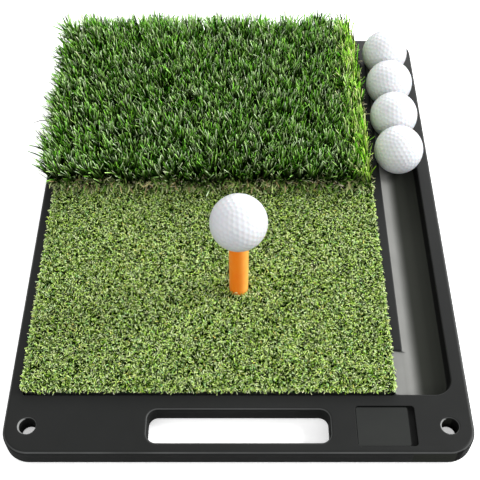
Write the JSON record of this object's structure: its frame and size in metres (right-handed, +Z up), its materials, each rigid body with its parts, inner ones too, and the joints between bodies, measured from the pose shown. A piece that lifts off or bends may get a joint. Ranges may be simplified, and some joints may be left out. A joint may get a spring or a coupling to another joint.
{
  "type": "golf hitting mat",
  "caption": "Moulded practice tray with a lift-out turf insert in fairway and rough grass, a flexing rubber tee with a ball, a ball trough and a carry handle.",
  "frame": {"origin": "on the floor, under the centre of the tray", "axes": "+X across the tray towards the ball trough, +Y from the handle edge to the rough grass, +Z up"},
  "size_m": [0.34, 0.445, 0.1251],
  "materials": {
    "tray_plastic": "fine moulded texture, satin",
    "foot_rubber": "matt",
    "badge_plastic": "smooth satin, blank",
    "hook_tape": "woven hook tape",
    "loop_tape": "brushed loop tape",
    "pad_foam": "closed-cell foam",
    "turf_backing": "woven, latex coated",
    "fairway_yarn": "short curled nylon pile",
    "thatch_yarn": "curled root-zone yarn",
    "rough_yarn": "tall straight polyethylene blades",
    "tee_rubber": "smooth satin rubber",
    "ball_cover": "dimpled, glossy clear coat"
  },
  "bodies": {
    "tray": {"base_tray": "tray_plastic", "rubber_feet": "foot_rubber", "blank_badge": "badge_plastic", "hook_strips": "hook_tape"},
    "turf_insert": {"loop_strips": "loop_tape", "foam_pad": "pad_foam", "fairway_backing": "turf_backing", "fairway_pile": "fairway_yarn", "rough_backing": "turf_backing", "rough_thatch": "thatch_yarn", "rough_blades": "rough_yarn", "tee_base": "tee_rubber"},
    "tee": {"tee_tube": "tee_rubber"},
    "teed_ball_body": {"teed_ball": "ball_cover"},
    "tray_ball_1_body": {"tray_ball_1": "ball_cover"},
    "tray_ball_2_body": {"tray_ball_2": "ball_cover"},
    "tray_ball_3_body": {"tray_ball_3": "ball_cover"},
    "tray_ball_4_body": {"tray_ball_4": "ball_cover"}
  },
  "joints": [
    {"name": "insert_lift", "type": "slide", "parent": "tray", "child": "turf_insert", "axis": [0, 0, 1], "range_m": [0, 0.04]},
    {"name": "tee_flex", "type": "hinge", "parent": "turf_insert", "child": "tee", "pos_m": [0, -0.083, 0.022], "axis": [-1, 0, 0], "range_deg": [-40, 40], "stiffness_Nm_per_rad": 1.5},
    {"name": "ball_off_tee", "type": "slide", "parent": "tee", "child": "teed_ball_body", "axis": [0, 0, 1], "range_m": [0, 0.05]},
    {"name": "ball_1_roll", "type": "slide", "parent": "tray", "child": "tray_ball_1_body", "axis": [0, -1, 0], "range_m": [0, 0.212]},
    {"name": "ball_2_roll", "type": "slide", "parent": "tray", "child": "tray_ball_2_body", "axis": [0, -1, 0], "range_m": [0, 0.212]},
    {"name": "ball_3_roll", "type": "slide", "parent": "tray", "child": "tray_ball_3_body", "axis": [0, -1, 0], "range_m": [0, 0.212]},
    {"name": "ball_4_roll", "type": "slide", "parent": "tray", "child": "tray_ball_4_body", "axis": [0, -1, 0], "range_m": [0, 0.212]}
  ],
  "couplings": [
    {"joint": "ball_2_roll", "follows": "ball_1_roll", "ratio": 1},
    {"joint": "ball_3_roll", "follows": "ball_1_roll", "ratio": 1},
    {"joint": "ball_4_roll", "follows": "ball_1_roll", "ratio": 1}
  ]
}
